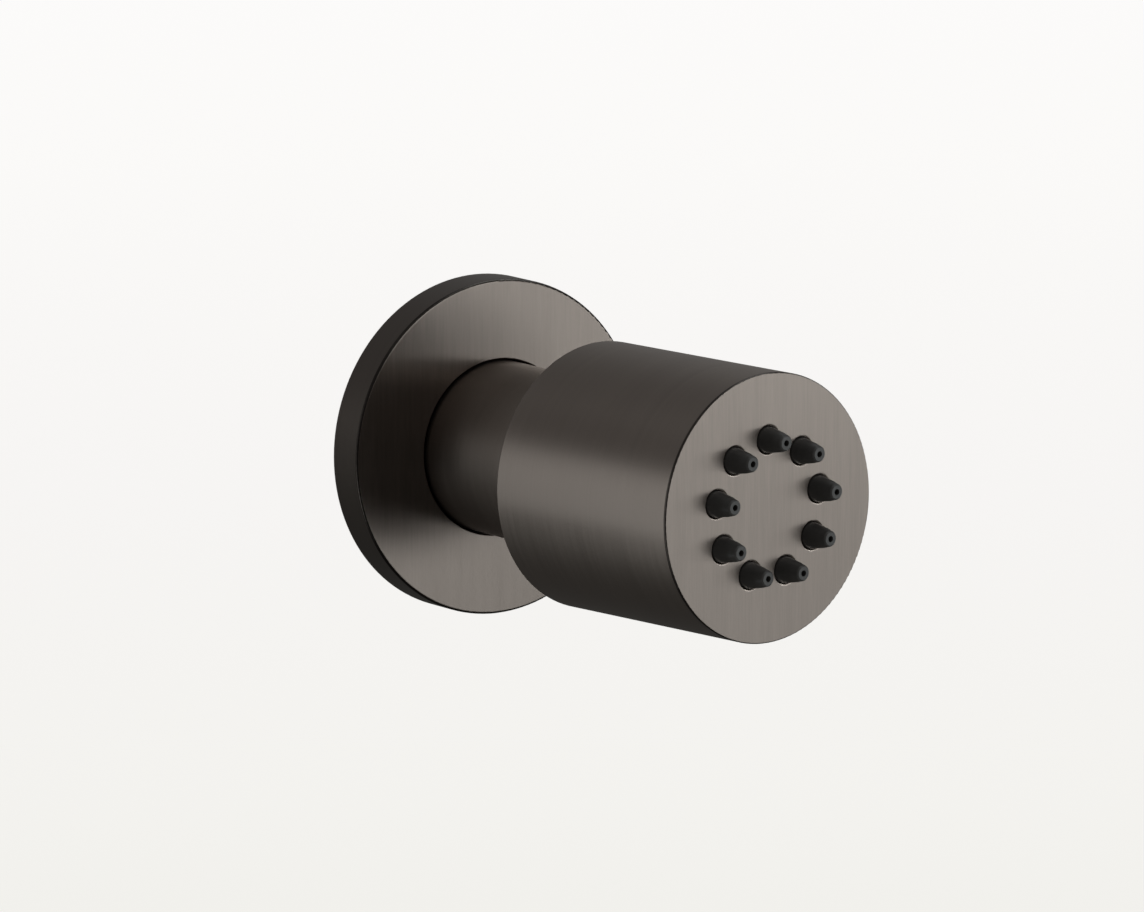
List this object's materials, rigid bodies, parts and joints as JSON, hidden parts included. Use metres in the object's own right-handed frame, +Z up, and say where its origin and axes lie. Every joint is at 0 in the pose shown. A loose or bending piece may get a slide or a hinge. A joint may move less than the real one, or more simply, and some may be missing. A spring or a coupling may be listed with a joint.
{
  "type": "shower body jet",
  "caption": "Round wall-mounted body spray jet: cylindrical head with a ring of soft nozzles that swivels on a ball at the end of a short neck.",
  "frame": {"origin": "centre of the wall plate's back on the wall, on the inlet thread's axis", "axes": "+Y into the wall along the inlet thread, +Z up, the jet sprays towards -Y"},
  "size_m": [0.06, 0.1026, 0.06],
  "materials": {
    "gunmetal": "dark gunmetal coating, brushed satin",
    "raw_brass": "turned brass",
    "black_rubber": "black rubber",
    "nozzle_silicone": "dark grey silicone, satin",
    "white_acetal": "moulded acetal",
    "stainless": "stainless steel"
  },
  "bodies": {
    "wall_mount": {"wall_plate": "gunmetal", "plate_gasket": "black_rubber", "plate_o_ring": "black_rubber", "neck_sleeve": "gunmetal", "inlet_body": "raw_brass", "thread_seal": "black_rubber", "sleeve_o_ring": "black_rubber", "inlet_strainer": "stainless", "regulator_cage": "white_acetal", "regulator_ring": "nozzle_silicone", "ball_stem": "raw_brass", "shank_o_ring": "black_rubber"},
    "turn_ring": {"slip_ring": "white_acetal"},
    "tilt_seat": {"seat_ring": "white_acetal", "ball_seal": "black_rubber", "seat_o_ring": "black_rubber"},
    "jet_head": {"head_shell": "gunmetal", "nozzle_mat": "nozzle_silicone", "spray_chamber": "white_acetal", "chamber_o_ring": "black_rubber", "pressure_plate": "white_acetal", "plate_screws": "stainless", "seat_spring": "stainless", "retaining_nut": "gunmetal"}
  },
  "joints": [
    {"name": "head_turn", "type": "hinge", "parent": "wall_mount", "child": "turn_ring", "pos_m": [0, -0.053, 0], "axis": [0, 0, 1], "range_deg": [-20.6, 7.4]},
    {"name": "head_tilt", "type": "hinge", "parent": "turn_ring", "child": "tilt_seat", "pos_m": [0, -0.053, 0], "axis": [0.9934, 0.1149, 0], "range_deg": [-14, 14]},
    {"name": "head_spin", "type": "hinge", "parent": "tilt_seat", "child": "jet_head", "pos_m": [0, -0.053, 0], "axis": [0.1149, -0.9934, 0], "continuous": true}
  ]
}
